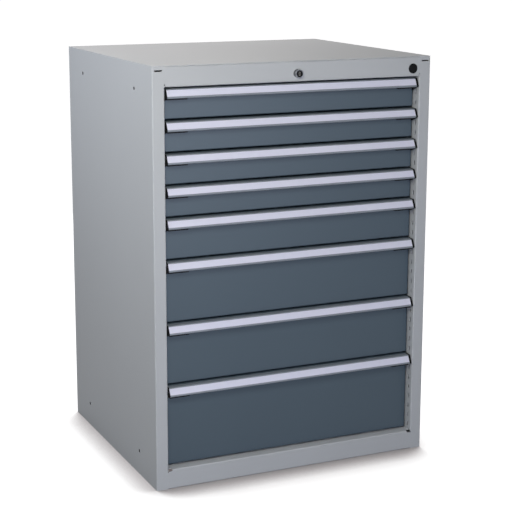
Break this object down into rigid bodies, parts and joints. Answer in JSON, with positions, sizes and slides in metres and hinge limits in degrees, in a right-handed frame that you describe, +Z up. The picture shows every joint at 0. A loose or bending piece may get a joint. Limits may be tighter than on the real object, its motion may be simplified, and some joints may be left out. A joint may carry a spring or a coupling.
{
  "type": "multi-drawer cabinet",
  "caption": "Floor-standing sheet-steel workshop cabinet with full-width pull-out drawers, handle profiles with label strips and a central lock.",
  "frame": {"origin": "on the floor, under the middle of the bounding box (lock ring included)", "axes": "+X to the right seen from the front, +Y to the back, +Z up; drawers open along -Y"},
  "size_m": [0.72, 0.632, 1],
  "materials": {
    "carcass_paint": "light grey powder coat",
    "front_paint": "blue-grey powder coat",
    "tray_paint": "grey powder coat",
    "handle_aluminium": "grey coated extrusion",
    "label_plastic": "white label strip",
    "black_plastic": "black moulded plastic",
    "zinc_steel": "zinc-plated steel",
    "chrome": "polished chrome",
    "lock_core": "dark lock core"
  },
  "bodies": {
    "cabinet": {"left_side_panel": "carcass_paint", "right_side_panel": "carcass_paint", "top_panel": "carcass_paint", "rear_panel": "carcass_paint", "floor_pan": "carcass_paint", "top_fascia": "carcass_paint", "runner_uprights": "carcass_paint", "cabinet_rails": "zinc_steel", "lock_housing": "chrome", "hole_plug": "black_plastic"},
    "drawer_1": {"drawer_1_tray": "tray_paint", "drawer_1_front": "front_paint", "drawer_1_handle": "handle_aluminium", "drawer_1_label_strip": "label_plastic", "drawer_1_end_caps": "black_plastic"},
    "drawer_1_runner": {"drawer_1_carriages": "zinc_steel"},
    "drawer_2": {"drawer_2_tray": "tray_paint", "drawer_2_front": "front_paint", "drawer_2_handle": "handle_aluminium", "drawer_2_label_strip": "label_plastic", "drawer_2_end_caps": "black_plastic"},
    "drawer_2_runner": {"drawer_2_carriages": "zinc_steel"},
    "drawer_3": {"drawer_3_tray": "tray_paint", "drawer_3_front": "front_paint", "drawer_3_handle": "handle_aluminium", "drawer_3_label_strip": "label_plastic", "drawer_3_end_caps": "black_plastic"},
    "drawer_3_runner": {"drawer_3_carriages": "zinc_steel"},
    "drawer_4": {"drawer_4_tray": "tray_paint", "drawer_4_front": "front_paint", "drawer_4_handle": "handle_aluminium", "drawer_4_label_strip": "label_plastic", "drawer_4_end_caps": "black_plastic"},
    "drawer_4_runner": {"drawer_4_carriages": "zinc_steel"},
    "drawer_5": {"drawer_5_tray": "tray_paint", "drawer_5_front": "front_paint", "drawer_5_handle": "handle_aluminium", "drawer_5_label_strip": "label_plastic", "drawer_5_end_caps": "black_plastic"},
    "drawer_5_runner": {"drawer_5_carriages": "zinc_steel"},
    "drawer_6": {"drawer_6_tray": "tray_paint", "drawer_6_front": "front_paint", "drawer_6_handle": "handle_aluminium", "drawer_6_label_strip": "label_plastic", "drawer_6_end_caps": "black_plastic"},
    "drawer_6_runner": {"drawer_6_carriages": "zinc_steel"},
    "drawer_7": {"drawer_7_tray": "tray_paint", "drawer_7_front": "front_paint", "drawer_7_handle": "handle_aluminium", "drawer_7_label_strip": "label_plastic", "drawer_7_end_caps": "black_plastic"},
    "drawer_7_runner": {"drawer_7_carriages": "zinc_steel"},
    "drawer_8": {"drawer_8_tray": "tray_paint", "drawer_8_front": "front_paint", "drawer_8_handle": "handle_aluminium", "drawer_8_label_strip": "label_plastic", "drawer_8_end_caps": "black_plastic"},
    "drawer_8_runner": {"drawer_8_carriages": "zinc_steel"},
    "lock": {"lock_cylinder": "lock_core"},
    "lock_bar": {"lock_bar": "zinc_steel"}
  },
  "joints": [
    {"name": "drawer_1_slide", "type": "slide", "parent": "cabinet", "child": "drawer_1", "axis": [0, -1, 0], "range_m": [0, 0.54]},
    {"name": "drawer_1_runner_slide", "type": "slide", "parent": "cabinet", "child": "drawer_1_runner", "axis": [0, -1, 0], "range_m": [0, 0.27]},
    {"name": "drawer_2_slide", "type": "slide", "parent": "cabinet", "child": "drawer_2", "axis": [0, -1, 0], "range_m": [0, 0.54]},
    {"name": "drawer_2_runner_slide", "type": "slide", "parent": "cabinet", "child": "drawer_2_runner", "axis": [0, -1, 0], "range_m": [0, 0.27]},
    {"name": "drawer_3_slide", "type": "slide", "parent": "cabinet", "child": "drawer_3", "axis": [0, -1, 0], "range_m": [0, 0.54]},
    {"name": "drawer_3_runner_slide", "type": "slide", "parent": "cabinet", "child": "drawer_3_runner", "axis": [0, -1, 0], "range_m": [0, 0.27]},
    {"name": "drawer_4_slide", "type": "slide", "parent": "cabinet", "child": "drawer_4", "axis": [0, -1, 0], "range_m": [0, 0.54]},
    {"name": "drawer_4_runner_slide", "type": "slide", "parent": "cabinet", "child": "drawer_4_runner", "axis": [0, -1, 0], "range_m": [0, 0.27]},
    {"name": "drawer_5_slide", "type": "slide", "parent": "cabinet", "child": "drawer_5", "axis": [0, -1, 0], "range_m": [0, 0.54]},
    {"name": "drawer_5_runner_slide", "type": "slide", "parent": "cabinet", "child": "drawer_5_runner", "axis": [0, -1, 0], "range_m": [0, 0.27]},
    {"name": "drawer_6_slide", "type": "slide", "parent": "cabinet", "child": "drawer_6", "axis": [0, -1, 0], "range_m": [0, 0.54]},
    {"name": "drawer_6_runner_slide", "type": "slide", "parent": "cabinet", "child": "drawer_6_runner", "axis": [0, -1, 0], "range_m": [0, 0.27]},
    {"name": "drawer_7_slide", "type": "slide", "parent": "cabinet", "child": "drawer_7", "axis": [0, -1, 0], "range_m": [0, 0.54]},
    {"name": "drawer_7_runner_slide", "type": "slide", "parent": "cabinet", "child": "drawer_7_runner", "axis": [0, -1, 0], "range_m": [0, 0.27]},
    {"name": "drawer_8_slide", "type": "slide", "parent": "cabinet", "child": "drawer_8", "axis": [0, -1, 0], "range_m": [0, 0.54]},
    {"name": "drawer_8_runner_slide", "type": "slide", "parent": "cabinet", "child": "drawer_8_runner", "axis": [0, -1, 0], "range_m": [0, 0.27]},
    {"name": "lock_turn", "type": "hinge", "parent": "cabinet", "child": "lock", "pos_m": [0, -0.304, 0.971], "axis": [0, 1, 0], "range_deg": [0, 90]},
    {"name": "lock_bar_lift", "type": "slide", "parent": "cabinet", "child": "lock_bar", "axis": [0, 0, 1], "range_m": [0, 0.012]}
  ],
  "couplings": [
    {"joint": "drawer_1_runner_slide", "follows": "drawer_1_slide", "ratio": 0.5},
    {"joint": "drawer_2_runner_slide", "follows": "drawer_2_slide", "ratio": 0.5},
    {"joint": "drawer_3_runner_slide", "follows": "drawer_3_slide", "ratio": 0.5},
    {"joint": "drawer_4_runner_slide", "follows": "drawer_4_slide", "ratio": 0.5},
    {"joint": "drawer_5_runner_slide", "follows": "drawer_5_slide", "ratio": 0.5},
    {"joint": "drawer_6_runner_slide", "follows": "drawer_6_slide", "ratio": 0.5},
    {"joint": "drawer_7_runner_slide", "follows": "drawer_7_slide", "ratio": 0.5},
    {"joint": "drawer_8_runner_slide", "follows": "drawer_8_slide", "ratio": 0.5},
    {"joint": "lock_turn", "follows": "lock_bar_lift", "rad_per_m": 130.9}
  ]
}
